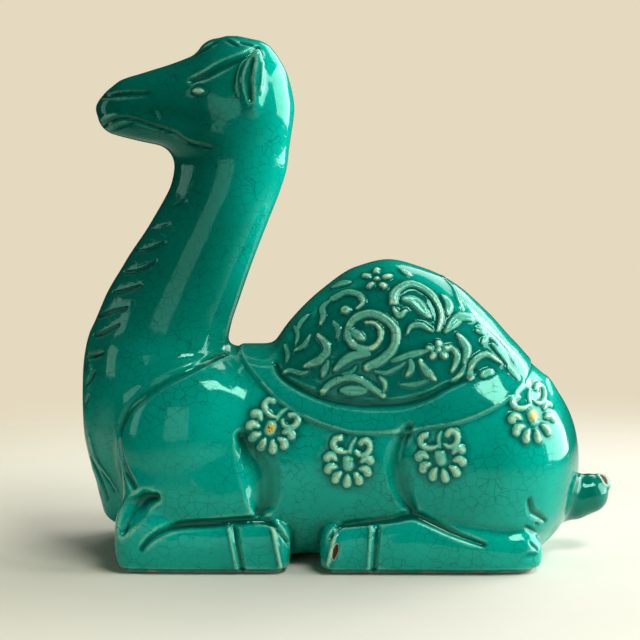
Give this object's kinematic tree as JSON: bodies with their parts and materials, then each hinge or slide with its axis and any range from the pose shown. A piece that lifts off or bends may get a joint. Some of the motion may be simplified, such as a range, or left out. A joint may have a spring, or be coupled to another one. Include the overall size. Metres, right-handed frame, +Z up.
{
  "type": "glazed ceramic camel figure",
  "caption": "Resting camel figure in turquoise glazed earthenware, legs folded under it, with scrollwork on the hump and flower medallions below a saddle cloth.",
  "frame": {"origin": "middle of the bounding box at the flat underside, on the surface that the figure stands on", "axes": "+Z up; the head looks along -X and the tail points along +X; Y runs across the figure, which is the same on both sides of the plane Y = 0"},
  "size_m": [0.2475, 0.0952, 0.24],
  "materials": {
    "turquoise_glaze": "glossy turquoise crackle glaze, darker where it pools and paler where it thins over relief",
    "bare_clay": "matt unglazed earthenware on the foot and in the chips"
  },
  "bodies": {
    "root": {"camel": "turquoise_glaze"}
  },
  "joints": []
}
